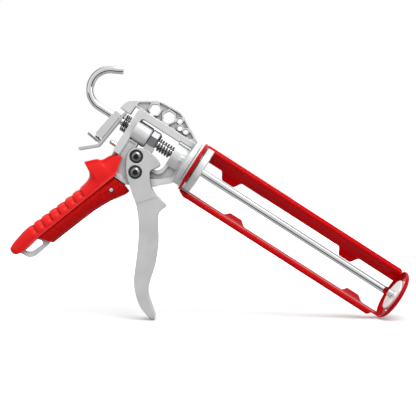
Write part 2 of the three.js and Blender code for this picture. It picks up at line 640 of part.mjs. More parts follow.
const screwWasher = (at, side) => cut(
  crossBar(SCREW_RECESS_RADIUS, at, ...span(side, WASHER_FLOOR, WASHER_FLOOR + SCREW_WASHER), 24),
  crossBar(SCREW_RADIUS + GAP, at, -20, 20));

const span = (side, from, to) => [Math.min(side * from, side * to), Math.max(side * from, side * to)];

// screw from the near side (-y) with a star socket; its shank ends inside the nut
function screw(at) {
  const seat = WASHER_FLOOR + SCREW_WASHER + GAP;
  const head = crossBar(SCREW_HEAD_RADIUS, at, ...span(-1, seat, seat + 2), 24);
  const shank = crossBar(SCREW_RADIUS, at, -seat - 1, seat + 1, 16);
  const star = join(...[0, 60, 120].map((turn) => {
    const bar = box(-2.3, 2.3, -seat - 3, -seat - 0.6, -0.75, 0.75);
    return bar.rotate([0, turn, 0]).translate(at[0], 0, at[1]);
  }));
  return cut(join(head, shank), star);
}

function screwNut(at) {
  const seat = WASHER_FLOOR + SCREW_WASHER + GAP;
  return cut(crossBar(SCREW_HEAD_RADIUS, at, seat, seat + 2, 24),
    crossBar(SCREW_RADIUS + GAP, at, 0, seat + 1 + GAP, 16));
}

const driveHalf = CORE_HALF_WIDTH - HOUSING_WALL - GAP;

const roller = () => cut(crossBar(ROLLER_RADIUS, ROLLER_AXIS, -driveHalf, driveHalf, 24),
  crossBar(SCREW_RADIUS + GAP, ROLLER_AXIS, -9, 9, 16));

// ---- drive ----
const JAW_BOTTOM = -(BORE + 1.2);

function jawBlock() {
  const top = JAW_RADIUS - 0.6;
  const section = [[-8, JAW_BOTTOM], [-8, 3.6], [-4.6, top], [4.6, top], [8, 3.6], [8, JAW_BOTTOM]];
  const ring = (x, shrink) => section.map(([y, z]) => new THREE.Vector3(x, y * shrink, z * shrink));
  const block = loft([
    ring(JAW_BACK, 0.94), ring(JAW_BACK + 0.6, 1), ring(JAW_FRONT - 2, 1), ring(JAW_FRONT, 0.8),
  ]);
  return cut(block, rod(BORE, JAW_BACK - 1, JAW_FRONT + 1, 24));
}

function drivePlate() {
  const back = ROLLER_AXIS[0] + ROLLER_RADIUS + GAP;
  const top = JAW_BOTTOM - GAP;
  return plate([[JAW_BACK, top], [JAW_BACK, -11.5], [back, -14], [back, -26], [back + DRIVE_PLATE - 1, -26],
    [back + DRIVE_PLATE, -25], [back + DRIVE_PLATE, -11], [JAW_FRONT, -11], [JAW_FRONT, top]],
  -driveHalf, driveHalf);
}

const coilSleeve = (radius, x0, x1) => washer(radius - SPRING_WIRE, radius, x0, x1, 24);
const driveSpring = () => coilSleeve(DRIVE_SPRING_RADIUS, JAW_FRONT + GAP, BOSS_BACK - GAP);
const releaseSpring = () => coilSleeve(RELEASE_SPRING_RADIUS, LEVER_HINGE[0] + 0.2, POST_BACK - GAP);

// ---- release lever: drawn upright with the hinge at its origin ----
const LEVER_DEPTH = 8.2;
const LEVER_HALF_WIDTH = 9;
const LEVER_TOP = -13.8;
const LEVER_BOTTOM = -44.2;
const LEVER_WALL = 2;

function lockPlate() {
  const upright = box(-LOCK_PLATE, 0, -8, 8, -49, -10);
  const tongue = box(-LOCK_PLATE, 0, -3, 3, -10.5, 1.4);
  const tab = plate(rounded([
    [0, -48], [0, -52, 3], [-13, -67], [-15, -65.2], [-LOCK_PLATE, -50.8, 3], [-LOCK_PLATE, -48],
  ], 0.6), -8, 8);
  const onRod = -LEVER_HINGE[1] / Math.cos(degrees(LEVER_TILT));
  return cut(join(upright, tongue, tab), rod(BORE + 0.25, -10, 10, 24).translate(0, 0, onRod));
}

function releaseLever() {
  const back = -LOCK_PLATE - GAP - LEVER_DEPTH;
  const front = -LOCK_PLATE - GAP;
  const body = plate(rounded([
    [front, LEVER_TOP, 0.5], [back + 1, LEVER_TOP, 2], [back, LEVER_BOTTOM, 2], [front, LEVER_BOTTOM, 0.5],
  ], 1), -LEVER_HALF_WIDTH, LEVER_HALF_WIDTH);
  const room = box(back + LEVER_WALL, 5, -LEVER_HALF_WIDTH + LEVER_WALL, LEVER_HALF_WIDTH - LEVER_WALL,
    LEVER_BOTTOM + LEVER_WALL, LEVER_TOP - LEVER_WALL);
  const onRod = -LEVER_HINGE[1] / Math.cos(degrees(LEVER_TILT));
  const rodRoom = box(back - 5, 5, -BORE - 0.8, BORE + 0.8, onRod - 6, onRod + 6.6);
  return cut(body, room, rodRoom);
}

const releaseStud = () => turned([
  [-17.5, 0], [-17.5, 1.7], [-16.8, 2.4], [-7, 2.4], [-7, 2.8], [-5.6, 2.8], [-5.6, 2], [-LOCK_PLATE - GAP, 2],
  [-LOCK_PLATE - GAP, 0],
], 24).translate(0, 0, -47.4);

// ---- assembly ----
function node(name, manifold, look) {
  const mesh = new THREE.Mesh(geometryOf(manifold), new THREE.MeshStandardMaterial(colours[look]));
  mesh.name = name;
  return mesh;
}

const gun = new THREE.Group();
gun.add(
  node('body_casting', bodyCasting(), 'castAluminium'),
  node('grip_shell_left', gripShell(-1), 'gripRed'),
  node('grip_shell_right', gripShell(1), 'gripRed'),
  node('backstrap', backstrap(), 'softRed'),
  node('grip_pin', gripPin(), 'steel'),
  node('stop_peg', stopPeg(), 'steel'),
  node('flange_washer', washer(SPIGOT_RADIUS + GAP, FLANGE_RADIUS + 0.6, FLANGE_FRONT + GAP, RING_BACK - GAP, 40),
    'palePlastic'),
  node('wave_washer', washer(SPIGOT_RADIUS + GAP, COLLAR_RADIUS - 0.8, RING_FRONT + GAP, COLLAR_BACK - GAP, 40),
    'darkSteel'),
  node('retaining_collar', washer(SPIGOT_RADIUS + GAP, COLLAR_RADIUS, COLLAR_BACK, COLLAR_FRONT, 40), 'castAluminium'),
  node('push_rod', pushRod(), 'chrome'),
  node('piston_disc', pistonDisc(), 'chrome'),
  node('piston_nut', pistonNut(), 'steel'),
  node('trigger', trigger(), 'triggerGrey'),
  node('pivot_screw', screw(PIVOT), 'steel'),
  node('pivot_nut', screwNut(PIVOT), 'steel'),
  node('pivot_washer_left', screwWasher(PIVOT, -1), 'rubber'),
  node('pivot_washer_right', screwWasher(PIVOT, 1), 'rubber'),
  node('roller_screw', screw(ROLLER_AXIS), 'steel'),
  node('roller_nut', screwNut(ROLLER_AXIS), 'steel'),
  node('roller_washer_left', screwWasher(ROLLER_AXIS, -1), 'rubber'),
  node('roller_washer_right', screwWasher(ROLLER_AXIS, 1), 'rubber'),
  node('drive_roller', roller(), 'steel'),
  node('drive_plate', drivePlate(), 'chrome'),
  node('jaw_block', jawBlock(), 'darkSteel'),
  node('drive_spring', driveSpring(), 'darkSteel'),
  node('release_spring', releaseSpring(), 'darkSteel'),
);

const cradle = new THREE.Group();
cradle.rotation.x = -degrees(CRADLE_ROLL);
cradle.add(
  node('rear_ring', rearRing(), 'glossRed'),
  node('rail_upper', upperRail(), 'glossRed'),
  node('rail_lower', lowerRail(), 'glossRed'),
  node('front_cap', frontCap(), 'glossRed'),
);

const release = new THREE.Group();
release.position.set(LEVER_HINGE[0], 0, LEVER_HINGE[1]);
release.rotation.y = degrees(LEVER_TILT);
release.add(
  node('lock_plate', lockPlate(), 'steel'),
  node('release_lever', releaseLever(), 'castAluminium'),
  node('release_stud', releaseStud(), 'steel'),
);
gun.add(cradle, release);

// stand the gun on the trigger's tip and the cap's lower edge, which are both round
const capEdge = [CAP_FRONT - CAP_EDGE, -(CAP_RADIUS - CAP_EDGE)];
const reach = Math.hypot(capEdge[0] - triggerTipCentre[0], capEdge[1] - triggerTipCentre[1]);
const slope = Math.atan2(capEdge[1] - triggerTipCentre[1], capEdge[0] - triggerTipCentre[0]);
gun.rotation.y = slope + Math.asin((TRIGGER_TIP_RADIUS - CAP_EDGE) / reach);

// the origin is at the middle of the gun's box, on the surface it stands on
const standing = new THREE.Group();
standing.add(gun);
standing.updateMatrixWorld(true);
const bounds = new THREE.Box3().setFromObject(standing, true);
const middle = bounds.getCenter(new THREE.Vector3());
gun.position.set(-middle.x, -middle.y, -bounds.min.z);

export default standing;
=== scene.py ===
import json
import math

import bmesh
import bpy
from mathutils import Matrix, Vector


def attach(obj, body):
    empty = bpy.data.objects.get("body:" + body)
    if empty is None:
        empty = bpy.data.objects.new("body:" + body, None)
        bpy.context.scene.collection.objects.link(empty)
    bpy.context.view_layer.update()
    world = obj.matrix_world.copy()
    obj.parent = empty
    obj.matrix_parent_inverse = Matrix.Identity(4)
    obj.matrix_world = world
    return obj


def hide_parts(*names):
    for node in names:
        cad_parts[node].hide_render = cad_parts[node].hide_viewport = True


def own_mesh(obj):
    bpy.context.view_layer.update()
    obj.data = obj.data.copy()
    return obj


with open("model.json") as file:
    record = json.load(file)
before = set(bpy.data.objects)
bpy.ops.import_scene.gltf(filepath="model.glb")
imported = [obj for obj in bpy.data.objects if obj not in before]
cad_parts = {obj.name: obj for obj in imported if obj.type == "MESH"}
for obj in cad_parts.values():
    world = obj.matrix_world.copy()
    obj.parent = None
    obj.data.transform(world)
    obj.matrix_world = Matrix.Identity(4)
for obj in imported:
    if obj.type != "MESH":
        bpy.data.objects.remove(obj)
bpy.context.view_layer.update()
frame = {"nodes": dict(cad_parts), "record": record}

# Everything is drawn in the gun's own frame, in millimetres: x along the push rod to the nozzle,
# y sideways, z up across the rod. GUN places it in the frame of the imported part, in metres.
JOINTS = {joint["name"]: joint for joint in frame["record"]["behaviour"]["joints"]}
ROD_DIRECTION = Vector(JOINTS["rod_slide"]["axis"])
GUN_ORIGIN = Vector(JOINTS["cradle_turn"]["pos_m"])
SIDEWAYS = Vector((0, 1, 0))
UP_ACROSS = ROD_DIRECTION.cross(SIDEWAYS)
MM = 0.001
GUN = Matrix.Translation(GUN_ORIGIN) @ Matrix(
    (ROD_DIRECTION, SIDEWAYS, UP_ACROSS)).transposed().to_4x4() @ Matrix.Scale(MM, 4)

# sizes that the CAD part is made to
RING_FRONT = 1.5
FLANGE_FRONT = -3.8
COLLAR_BACK = 2.9
COLLAR_FRONT = 10.0
COLLAR_SIDE = 24.0
SPIGOT_BORE = 17.3
CAP_FRONT = 241.5
CAP_BACK = 236.5
CAP_HOLE = 17.5
PISTON_BACK = CAP_FRONT - 4.5
PISTON_SIDE = 16.6
RAIL_INNER = 25.0
RAIL_OUTER = 26.2
RAIL_MIDDLE = (RAIL_INNER + RAIL_OUTER) / 2
CRADLE_ROLL = math.radians(18.5)
ROD_RADIUS = 4.0
HOOK_START = -110.5
HOOK_RADIUS = 20.0
HOOK_SWEEP = 152
HOOK_TAIL = 12
PIVOT = (-45.2, -35.4)
ROLLER_AXIS = (-52.6, -21.8)
GRIP_PIN = (-55.6, -63)
DRIVE_SPRING_ENDS = (-41.6, -24.8)
RELEASE_SPRING_ENDS = (-82.6, -75.8)

# the rim of the cap and the ring, drawn 0.1 inside the CAD part's
CAP_SIDE = 26.5

# the grip's own axis, which leans back as it goes down
GRIP_LEAN = math.radians(18.6)
FRAME_TILT = math.atan2(-ROD_DIRECTION.z, ROD_DIRECTION.x)
GRIP_TOP = Vector((-62, 0, -52))
GRIP_DOWN = Vector((-math.sin(GRIP_LEAN), 0, -math.cos(GRIP_LEAN)))
GRIP_FORWARD = Vector((math.cos(GRIP_LEAN), 0, -math.sin(GRIP_LEAN)))


# ---- mesh helpers ----
def piece(name, points, faces, material, body, slot, stands_for=(), smooth=True):
    """A mesh from points in the gun's frame, put on its body and standing for CAD nodes."""
    mesh = bpy.data.meshes.new(name)
    mesh.from_pydata([GUN @ Vector(point) for point in points], [], faces)
    obj = bpy.data.objects.new(name, mesh)
    bpy.context.scene.collection.objects.link(obj)
    form = bmesh.new()
    form.from_mesh(mesh)
    bmesh.ops.remove_doubles(form, verts=form.verts, dist=1e-7)
    bmesh.ops.recalc_face_normals(form, faces=form.faces)
    form.to_mesh(mesh)
    form.free()
    return finish_piece(obj, material, body, stands_for, smooth)


def finish_piece(obj, material, body, stands_for=(), smooth=True):
    obj.data.materials.clear()
    obj.data.materials.append(material)
    for polygon in obj.data.polygons:
        polygon.use_smooth = smooth
    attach(obj, body)
    if stands_for:
        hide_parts(*stands_for)
    return obj


def modify(obj, kind, **settings):
    modifier = obj.modifiers.new(kind.lower(), kind)
    for key, value in settings.items():
        setattr(modifier, key, value)


def sharp_edges(obj, angle):
    """Smooth shading that stays crisp across edges sharper than the angle."""
    obj.data.set_sharp_from_angle(angle=math.radians(angle))


def loft(rings):
    """Points and faces of a skin over equal rings of points, closed with a fan at each end."""
    count = len(rings[0])
    points = [point for ring in rings for point in ring]
    faces = []
    for row in range(len(rings) - 1):
        for i in range(count):
            a = row * count + i
            b = row * count + (i + 1) % count
            faces.append((a, b, b + count, a + count))
    for first, ring in ((0, rings[0]), ((len(rings) - 1) * count, rings[-1])):
        middle = sum((Vector(point) for point in ring), Vector()) / count
        points.append(tuple(middle))
        centre = len(points) - 1
        for i in range(count):
            faces.append((centre, first + i, first + (i + 1) % count))
    return points, faces


def revolved(profiles):
    """A skin round the x axis through equal profiles of (x, radius), one for each step of the turn."""
    points, faces = [], []
    segments = len(profiles)
    for i, profile in enumerate(profiles):
        angle = 2 * math.pi * i / segments
        for x, r in profile:
            points.append((x, r * math.cos(angle), r * math.sin(angle)))
    first, count = profiles[0], len(profiles[0])
    ends_on_axis = first[0][1] == 0 and first[-1][1] == 0
    for i in range(segments):
        here = i * count
        following = (i + 1) % segments * count
        for k in range(count - 1 if ends_on_axis else count):
            after = (k + 1) % count
            faces.append((here + k, here + after, following + after, following + k))
    return points, faces


def turned(profile, segments):
    """A piece turned on the x axis: its profile closes on itself, or has both ends on the axis."""
    return revolved([profile] * segments)


def eased(profile, radius, steps):
    """The closed profile with rounded corners; a corner's third number is its own radius."""
    count = len(profile)
    result = []
    for i, corner in enumerate(profile):
        wanted = corner[2] if len(corner) > 2 else radius
        here = Vector(corner[:2])
        before = Vector(profile[i - 1][:2])
        after = Vector(profile[(i + 1) % count][:2])
        reach = min(wanted, (before - here).length * 0.48, (after - here).length * 0.48)
        enter = here + (before - here).normalized() * reach
        leave = here + (after - here).normalized() * reach
        for k in range(steps + 1):
            t = k / steps
            result.append(tuple(enter * (1 - t) ** 2 + here * 2 * t * (1 - t) + leave * t ** 2))
    return result


def circle(centre, across, up, radius, sides):
    """Points of a ring round a centre, in the plane of two unit directions."""
    angles = [2 * math.pi * k / sides for k in range(sides)]
    return [tuple(centre + across * radius * math.cos(t) + up * radius * math.sin(t)) for t in angles]


def tube(path, radius, sides):
    """Points and faces of a round bar along a path in the gun's middle plane, with eased ends."""
    ease = 0.8
    rings = []
    for i, centre in enumerate(path):
        before = Vector(path[max(i - 1, 0)])
        after = Vector(path[min(i + 1, len(path) - 1)])
        along = (after - before).normalized()
        rings.append((Vector(centre), along, radius))
    domes = []
    for index, sense in ((0, -1), (-1, 1)):
        centre, along, _ = rings[index]
        domes.append([
            (centre + along * sense * ease * math.sin(a), along, radius - ease + ease * math.cos(a))
            for a in (math.radians(30), math.radians(60), math.radians(90))])
    rings = domes[0][::-1] + rings + domes[1]
    return loft([
        circle(centre, SIDEWAYS, along.cross(SIDEWAYS).normalized(), r, sides)
        for centre, along, r in rings])


def helix(start, end, radius, wire, turns, closed_turns):
    """A coil spring on the x axis whose last turns at each end lie close together."""
    steps_per_turn = 28
    axial = Vector((1, 0, 0))
    rings = []
    total = turns + 2 * closed_turns
    count = int(total * steps_per_turn)
    free = end - start - wire * 2 - wire * 2 * closed_turns * 2
    for i in range(count + 1):
        turn = total * i / count
        ground = min(turn, closed_turns) + max(0, turn - closed_turns - turns)
        rise = max(0.0, min(turns, turn - closed_turns)) / turns
        x = start + wire + ground * wire * 2 + free * rise
        angle = 2 * math.pi * turn
        outward = Vector((0, math.cos(angle), math.sin(angle)))
        rings.append(circle(axial * x + outward * radius, outward, axial, wire, 10))
    return loft(rings)


def smooth_step(t):
    """Rises from 0 to 1 as t does, level at both ends."""
    t = min(1.0, max(0.0, t))
    return t * t * (3 - 2 * t)


def along_table(table, at):
    """A value from a table of (place, value), smooth through its points."""
    if at <= table[0][0]:
        return table[0][1]
    if at >= table[-1][0]:
        return table[-1][1]
    index = next(i for i, (place, _) in enumerate(table) if place > at) - 1
    (p0, v0), (p1, v1) = table[index], table[index + 1]

    def slope(i):
        if i <= 0 or i >= len(table) - 1:
            return 0.0 if i <= 0 else (table[-1][1] - table[-2][1]) / (table[-1][0] - table[-2][0])
        left = (table[i][1] - table[i - 1][1]) / (table[i][0] - table[i - 1][0])
        right = (table[i + 1][1] - table[i][1]) / (table[i + 1][0] - table[i][0])
        return 0.0 if left * right <= 0 else 2 * left * right / (left + right)

    span = p1 - p0
    t = (at - p0) / span
    m0, m1 = slope(index) * span, slope(index + 1) * span
    return ((2 * t ** 3 - 3 * t ** 2 + 1) * v0 + (t ** 3 - 2 * t ** 2 + t) * m0
            + (-2 * t ** 3 + 3 * t ** 2) * v1 + (t ** 3 - t ** 2) * m1)


def evenly(start, end, step):
    """Places from start to end, both included, about a step apart."""
    count = max(1, round((end - start) / step))
    return [start + (end - start) * i / count for i in range(count + 1)]


def refined(node, name, rounds, material, body):
    """A fine copy of a CAD node whose edges are softened as a casting's are."""
    grid = 0.5
    source = frame["nodes"][node]
    obj = bpy.data.objects.new(name, source.data.copy())
    bpy.context.scene.collection.objects.link(obj)
    obj.matrix_world = source.matrix_world
    modify(obj, "REMESH", mode="VOXEL", voxel_size=grid * MM, adaptivity=0.0)
    modify(obj, "SMOOTH", factor=0.5, iterations=rounds)
    baked = bpy.data.meshes.new_from_object(
        obj.evaluated_get(bpy.context.evaluated_depsgraph_get()))
    obj.modifiers.clear()
    obj.data = baked
    finish_piece(obj, material, body, (node,))


# ---- materials ----
def shader(name, colour, roughness, metallic=0.0):
    material = bpy.data.materials.new(name)
    material.use_nodes = True
    tree = material.node_tree
    surface = tree.nodes["Principled BSDF"]
    surface.inputs["Base Color"].default_value = (*colour, 1)
    surface.inputs["Roughness"].default_value = roughness
    surface.inputs["Metallic"].default_value = metallic
    return material, tree, surface


def texture(tree, kind, scale, stretch=(1, 1, 1), turn=(0, 0, 0), **inputs):
    """A procedural texture in the object's own metres, drawn out along its turned axes by stretch."""
    coordinates = tree.nodes.new("ShaderNodeTexCoord")
    mapping = tree.nodes.new("ShaderNodeMapping")
    mapping.vector_type = "TEXTURE"
    mapping.inputs["Scale"].default_value = stretch
    mapping.inputs["Rotation"].default_value = turn
    node = tree.nodes.new(kind)
    node.inputs["Scale"].default_value = scale
    for key, value in inputs.items():
        node.inputs[key.replace("_", " ")].default_value = value
    tree.links.new(coordinates.outputs["Object"], mapping.inputs["Vector"])
    tree.links.new(mapping.outputs["Vector"], node.inputs["Vector"])
    return node


def ramp(tree, source, stops, output="Fac"):
    node = tree.nodes.new("ShaderNodeValToRGB")
    elements = node.color_ramp.elements
    while len(elements) < len(stops):
        elements.new(0.5)
    for element, (place, colour) in zip(elements, stops):
        element.position = place
        element.color = (*colour, 1)
    tree.links.new(source.outputs[output], node.inputs["Fac"])
    return node


def to_range(tree, source, low, high, output="Fac"):
    node = tree.nodes.new("ShaderNodeMapRange")
    node.inputs["To Min"].default_value = low
    node.inputs["To Max"].default_value = high
    tree.links.new(source.outputs[output], node.inputs["Value"])
    return node


def bump(tree, surface, sources, distance):
    """Bumps from each (texture, output, strength), one on the other."""
    normal = None
    for source, output, strength in sources:
        node = tree.nodes.new("ShaderNodeBump")
        node.inputs["Strength"].default_value = strength
        node.inputs["Distance"].default_value = distance
        tree.links.new(source.outputs[output], node.inputs["Height"])
        if normal:
            tree.links.new(normal.outputs["Normal"], node.inputs["Normal"])
        normal = node
    tree.links.new(normal.outputs["Normal"], surface.inputs["Normal"])


def edge_wear(tree, base, worn):
    """Colour that turns to the worn one on convex edges."""
    geometry = tree.nodes.new("ShaderNodeNewGeometry")
    edge = to_range(tree, geometry, 0, 1, "Pointiness")
    edge.inputs["From Min"].default_value = 0.52
    edge.inputs["From Max"].default_value = 0.6
    mix = tree.nodes.new("ShaderNodeMix")
    mix.data_type = "RGBA"
    tree.links.new(edge.outputs["Result"], mix.inputs["Factor"])
    tree.links.new(base.outputs["Color"], mix.inputs["A"])
    mix.inputs["B"].default_value = (*worn, 1)
    return mix


def painted_crevice_shade(tree, colour, output, depth, dark):
    """The colour, darkened where other surfaces stand close: painted shade in the crevices."""
    shade = tree.nodes.new("ShaderNodeAmbientOcclusion")
    shade.samples = 6
    shade.inputs["Distance"].default_value = depth * MM
    level = to_range(tree, shade, dark, 1.0, "AO")
    level.inputs["From Min"].default_value = 0.25
    level.inputs["From Max"].default_value = 0.95
    mix = tree.nodes.new("ShaderNodeMix")
    mix.data_type = "RGBA"
    mix.blend_type = "MULTIPLY"
    mix.inputs["Factor"].default_value = 1.0
    tree.links.new(colour.outputs[output], mix.inputs["A"])
    tree.links.new(level.outputs["Result"], mix.inputs["B"])
    return mix


def cast_metal(name, colour, roughness, metallic, grain, crevice=0.3):
    material, tree, surface = shader(name, colour, roughness, metallic)
    fine = texture(tree, "ShaderNodeTexNoise", grain, Detail=4.0, Roughness=0.6)
    broad = texture(tree, "ShaderNodeTexNoise", 60, Detail=3.0)
    dark = tuple(c * 0.93 for c in colour)
    light = tuple(min(1, c * 1.05) for c in colour)
    tone = ramp(tree, broad, [(0.3, dark), (0.7, light)])
    worn = edge_wear(tree, tone, tuple(min(1, c * 1.18) for c in colour))
    # painted shade: the colour is darkened in crevices and recesses, where shade falls
    shaded = painted_crevice_shade(tree, worn, "Result", 7, crevice)
    tree.links.new(shaded.outputs["Result"], surface.inputs["Base Color"])
    sheen = to_range(tree, broad, roughness - 0.06, roughness + 0.08)
    tree.links.new(sheen.outputs["Result"], surface.inputs["Roughness"])
    bump(tree, surface, [(broad, "Fac", 0.15), (fine, "Fac", 0.25)], 0.00012)
    return material


def gloss_paint(name, colour):
    material, tree, surface = shader(name, colour, 0.22)
    peel = texture(tree, "ShaderNodeTexNoise", 700, Detail=2.0)
    broad = texture(tree, "ShaderNodeTexNoise", 35, Detail=3.0)
    dark = tuple(c * 0.9 for c in colour)
    light = tuple(min(1, c * 1.08) for c in colour)
    tone = ramp(tree, broad, [(0.3, dark), (0.7, light)])
    tree.links.new(tone.outputs["Color"], surface.inputs["Base Color"])
    sheen = to_range(tree, broad, 0.18, 0.24)
    tree.links.new(sheen.outputs["Result"], surface.inputs["Roughness"])
    surface.inputs["Specular IOR Level"].default_value = 0.05
    surface.inputs["Coat Weight"].default_value = 0.08
    surface.inputs["Coat Roughness"].default_value = 0.06
    bump(tree, surface, [(peel, "Fac", 0.02)], 0.0001)
    return material


def grained_plastic(name, colour, dark):
    """Red plastic with a long grain down the grip, darker in its valleys."""
    material, tree, surface = shader(name, colour, 0.45)
    lean = (0, GRIP_LEAN + FRAME_TILT, 0)
    grain = texture(tree, "ShaderNodeTexNoise", 1500, stretch=(1, 1, 5), turn=lean, Detail=6.0,
                    Roughness=0.7, Distortion=0.4)
    tone = ramp(tree, grain, [(0.40, dark), (0.58, colour)])
    # painted shade: the grain's colour is darkened where other surfaces stand close
    shaded = painted_crevice_shade(tree, tone, "Color", 6, 0.5)
    tree.links.new(shaded.outputs["Result"], surface.inputs["Base Color"])
    sheen = to_range(tree, grain, 0.55, 0.34)
    tree.links.new(sheen.outputs["Result"], surface.inputs["Roughness"])
    surface.inputs["Specular IOR Level"].default_value = 0.1
    pores = texture(tree, "ShaderNodeTexNoise", 2500, Detail=2.0)
    bump(tree, surface, [(grain, "Fac", 0.55), (pores, "Fac", 0.12)], 0.0003)
    return material


def soft_rubber(name, colour):
    material, tree, surface = shader(name, colour, 0.48)
    broad = texture(tree, "ShaderNodeTexNoise", 45, Detail=3.0)
    pores = texture(tree, "ShaderNodeTexNoise", 3200, Detail=2.0)
    tone = ramp(tree, broad, [(0.3, tuple(c * 0.93 for c in colour)), (0.7, colour)])
    worn = edge_wear(tree, tone, tuple(min(1, c + 0.05) for c in colour))
    # painted shade: the colour is darkened in the grooves and crevices, where shade falls
    shaded = painted_crevice_shade(tree, worn, "Result", 3, 0.55)
    tree.links.new(shaded.outputs["Result"], surface.inputs["Base Color"])
    sheen = to_range(tree, broad, 0.34, 0.44)
    tree.links.new(sheen.outputs["Result"], surface.inputs["Roughness"])
    surface.inputs["Specular IOR Level"].default_value = 0.1
    surface.inputs["Coat Weight"].default_value = 0.2
    surface.inputs["Coat Roughness"].default_value = 0.28
    bump(tree, surface, [(pores, "Fac", 0.12)], 0.0001)
    return material


def plated(name, colour, roughness, metallic=1.0):
    """Polished metal with a faint fine grain and a few smudges."""
    material, tree, surface = shader(name, colour, roughness, metallic)
    grain = texture(tree, "ShaderNodeTexNoise", 1800, Detail=3.0)
    smudge = texture(tree, "ShaderNodeTexNoise", 55, Detail=4.0)
    tone = ramp(tree, smudge, [(0.3, tuple(c * 0.9 for c in colour)), (0.7, colour)])
    tree.links.new(tone.outputs["Color"], surface.inputs["Base Color"])
    sheen = to_range(tree, smudge, roughness * 0.7, roughness * 1.5)
    tree.links.new(sheen.outputs["Result"], surface.inputs["Roughness"])
    bump(tree, surface, [(grain, "Fac", 0.06)], 0.00005)
    return material


def matt(name, colour, roughness):
    material, tree, surface = shader(name, colour, roughness)
    grain = texture(tree, "ShaderNodeTexNoise", 1500, Detail=2.0)
    tone = ramp(tree, grain, [(0.3, tuple(c * 0.85 for c in colour)), (0.7, colour)])
    tree.links.new(tone.outputs["Color"], surface.inputs["Base Color"])
    sheen = to_range(tree, grain, roughness - 0.08, roughness + 0.08)
    tree.links.new(sheen.outputs["Result"], surface.inputs["Roughness"])
    bump(tree, surface, [(grain, "Fac", 0.1)], 0.0001)
    return material


CAST = cast_metal("cast_aluminium", (0.76, 0.765, 0.77), 0.38, 0.18, 900, 0.12)
LEVER_GREY = cast_metal("lever_grey", (0.66, 0.665, 0.67), 0.42, 0.15, 900)
TRIGGER_GREY = cast_metal("trigger_grey", (0.63, 0.635, 0.63), 0.55, 0.05, 1400)
GLOSS_RED = gloss_paint("gloss_red", (0.56, 0.001, 0.003))
GRIP_RED = grained_plastic("grip_red", (0.74, 0.004, 0.004), (0.40, 0.0, 0.0))
SOFT_RED = soft_rubber("soft_red", (0.88, 0.010, 0.010))
DISH = plated("dish", (0.9, 0.88, 0.88), 0.3, metallic=0.35)
CHROME = plated("rod_chrome", (0.82, 0.825, 0.84), 0.07)
BRIGHT_STEEL = plated("bright_steel", (0.70, 0.70, 0.71), 0.22)
DARK_STEEL = plated("dark_steel", (0.24, 0.24, 0.25), 0.24)
SPRING_STEEL = plated("spring_steel", (0.16, 0.16, 0.165), 0.2)
BLACK = matt("black_rubber", (0.008, 0.008, 0.008), 0.5)
PALE = matt("pale_plastic", (0.8, 0.8, 0.79), 0.45)
PEWTER = plated("pewter", (0.30, 0.30, 0.31), 0.25)


# ---- cradle ----
# the rails' angles are in degrees from the middle of the open side
RAIL_LIP_AT = 101.5
RAIL_FAR_EDGE = 131.5
LIP_HEIGHT = 4.5
LIP_BEND = 1.8
TAB_TURN = 19
TAB_SLOPE = 7
UPPER_TABS = ((33, 45), (176, 188))
LOWER_TABS = ((58, 70), (200, 212))


def on_cradle(r, angle, side):
    """y and z of a point at a radius and an angle from the middle of the open side."""
    turned_angle = side * math.radians(angle) + CRADLE_ROLL
    return -r * math.cos(turned_angle), r * math.sin(turned_angle)


def plateau(x, start, end, slope):
    """1 from start to end, falling to 0 over a slope on either side."""
    return smooth_step((x - start + slope) / slope) * smooth_step((end + slope - x) / slope)


def rail_stations(start, end, tabs):
    """Places along a rail, close together at its ends and where a tab rises."""
    stations = set(evenly(start, start + 16, 0.8)) | set(evenly(end - 14, end, 0.8))
    stations |= set(evenly(start + 16, end - 14, 6)) | set(evenly(end - 5, end, 0.4))
    for a, b in tabs:
        stations |= set(evenly(a - TAB_SLOPE, a, 0.7)) | set(evenly(b, b + TAB_SLOPE, 0.7))
    return sorted(stations)


def rail_line(lip, edge):
    """The middle line of a rail's sheet, from its lip round the bend to its far edge."""
    lip_at = RAIL_LIP_AT - math.degrees((RAIL_OUTER - RAIL_INNER) / RAIL_INNER) / 2
    bend_turn = math.degrees(LIP_BEND / RAIL_MIDDLE)
    bend = RAIL_OUTER + min(1.6, lip)
    line = [(RAIL_OUTER + lip, lip_at), (bend, lip_at)]
    for k in range(1, 6):
        turn = math.radians(90 * k / 6)
        line.append((
            RAIL_MIDDLE + (bend - RAIL_MIDDLE) * (1 - math.sin(turn)),
            lip_at + bend_turn * (1 - math.cos(turn))))
    first = lip_at + bend_turn
    for k in range(19):
        line.append((RAIL_MIDDLE, first + (edge - first) * k / 18))
    return line


def rail(name, side, tabs):
    start = RING_FRONT - 0.3
    end = CAP_FRONT - 2.2 if side > 0 else CAP_BACK + 0.9
    rings = []
    for x in rail_stations(start, end, tabs):
        # the lip fades out at the ring and before the cap
        if side > 0:
            share = smooth_step(0.6 + (x - start) / 4) * smooth_step((end - x) / 4.5)
        else:
            share = smooth_step(0.35 + (x - start) / 12) * smooth_step((CAP_BACK - 6.3 - x) / 6)
        lip = max(LIP_HEIGHT * share, 0.5)
        edge = RAIL_FAR_EDGE + TAB_TURN * max(plateau(x, a, b, TAB_SLOPE) for a, b in tabs)
        outline = thick_line(rail_line(lip, edge), RAIL_OUTER - RAIL_INNER, side)
        rings.append([(x, *point) for point in outline])
    obj = piece(name, *loft(rings), GLOSS_RED, "cradle", "gloss_red", (name,))
    obj.visible_glossy = False


